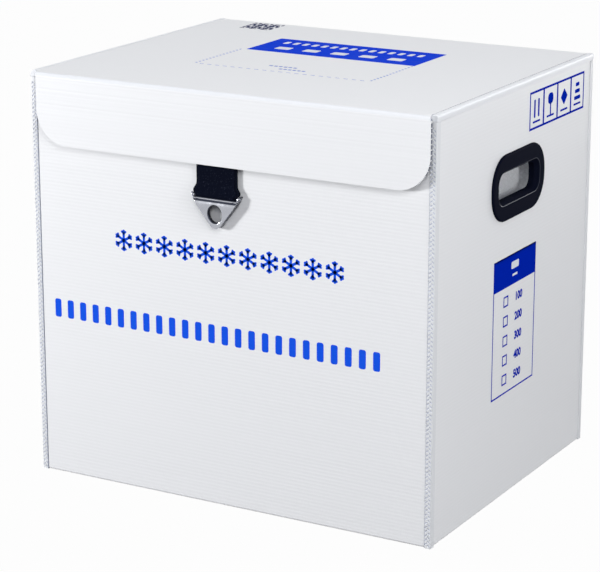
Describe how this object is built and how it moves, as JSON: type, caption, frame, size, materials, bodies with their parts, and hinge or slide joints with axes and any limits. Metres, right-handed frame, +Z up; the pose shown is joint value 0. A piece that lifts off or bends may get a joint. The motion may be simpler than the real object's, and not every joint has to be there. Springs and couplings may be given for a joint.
{
  "type": "vaccine carrier",
  "caption": "Box-shaped insulated cooler in a white hollow-board carton with a strap-and-clasp front flap, side hand holds, foam tub, cold packs and drop-in foam lid.",
  "frame": {"origin": "bottom centre of the carton, on the floor, midway between the side panels and between the front and back panels", "axes": "+Z up, front face with the flap and clasp towards -Y, carrying handles on -X and +X"},
  "size_m": [0.4952, 0.4032, 0.458],
  "materials": {
    "hollow_board": "satin",
    "welded_seam": "satin",
    "handle_plastic": "satin",
    "hook_loop_tape": "matte",
    "webbing": "matte",
    "loop_webbing": "matte",
    "pressed_steel": "polished",
    "foam": "matte",
    "barrier_film": "satin",
    "liner_plastic": "satin",
    "pack_plastic": "satin",
    "cap_plastic": "gloss",
    "seal_rubber": "matte"
  },
  "bodies": {
    "carton": {"front_panel": "hollow_board", "back_panel": "hollow_board", "left_panel": "hollow_board", "right_panel": "hollow_board", "left_top_hem": "hollow_board", "right_top_hem": "hollow_board", "corner_seam_front_left": "welded_seam", "corner_seam_front_right": "welded_seam", "corner_seam_back_left": "welded_seam", "corner_seam_back_right": "welded_seam", "bottom_flap_front": "hollow_board", "bottom_flap_back": "hollow_board", "bottom_flap_left": "hollow_board", "bottom_flap_right": "hollow_board", "left_handle_frame": "handle_plastic", "right_handle_frame": "handle_plastic", "left_handle_clip": "handle_plastic", "right_handle_clip": "handle_plastic", "loop_tape_left": "hook_loop_tape", "loop_tape_right": "hook_loop_tape", "foam_tub": "foam", "vacuum_panel_front": "barrier_film", "vacuum_panel_back": "barrier_film", "vacuum_panel_left": "barrier_film", "vacuum_panel_right": "barrier_film", "vacuum_panel_bottom": "barrier_film", "inner_liner": "liner_plastic", "cold_pack_front": "pack_plastic", "cold_pack_back": "pack_plastic", "cold_pack_left": "pack_plastic", "cold_pack_right": "pack_plastic", "cold_pack_caps": "cap_plastic"},
    "lid": {"lid_panel": "hollow_board"},
    "flap": {"flap_panel": "hollow_board", "hook_tape_left": "hook_loop_tape", "hook_tape_right": "hook_loop_tape", "strap_anchor": "webbing"},
    "pull_strap": {"strap": "webbing"},
    "clasp": {"clasp_plate": "pressed_steel", "clasp_bar": "pressed_steel"},
    "foam_lid": {"foam_lid": "foam", "foam_lid_vacuum_panel": "barrier_film", "foam_lid_pan": "liner_plastic", "foam_lid_seal": "seal_rubber", "pull_loop_left": "loop_webbing", "pull_loop_right": "loop_webbing"}
  },
  "joints": [
    {"name": "lid_hinge", "type": "hinge", "parent": "carton", "child": "lid", "pos_m": [0, 0.197, 0.458], "axis": [-1, 0, 0], "range_deg": [0, 230]},
    {"name": "flap_hinge", "type": "hinge", "parent": "lid", "child": "flap", "pos_m": [0, -0.2056, 0.458], "axis": [-1, 0, 0], "range_deg": [0, 100]},
    {"name": "strap_swing", "type": "hinge", "parent": "flap", "child": "pull_strap", "pos_m": [0, -0.1998, 0.3774], "axis": [-1, 0, 0], "range_deg": [0, 90]},
    {"name": "clasp_swing", "type": "hinge", "parent": "pull_strap", "child": "clasp", "pos_m": [0, -0.20058, 0.346], "axis": [-1, 0, 0], "range_deg": [0, 90]},
    {"name": "foam_lid_lift", "type": "slide", "parent": "carton", "child": "foam_lid", "axis": [0, 0, 1], "range_m": [0, 0.1209]}
  ],
  "couplings": [
    {"joint": "foam_lid_lift", "follows": "lid_hinge", "m_per_rad": 0.03}
  ]
}
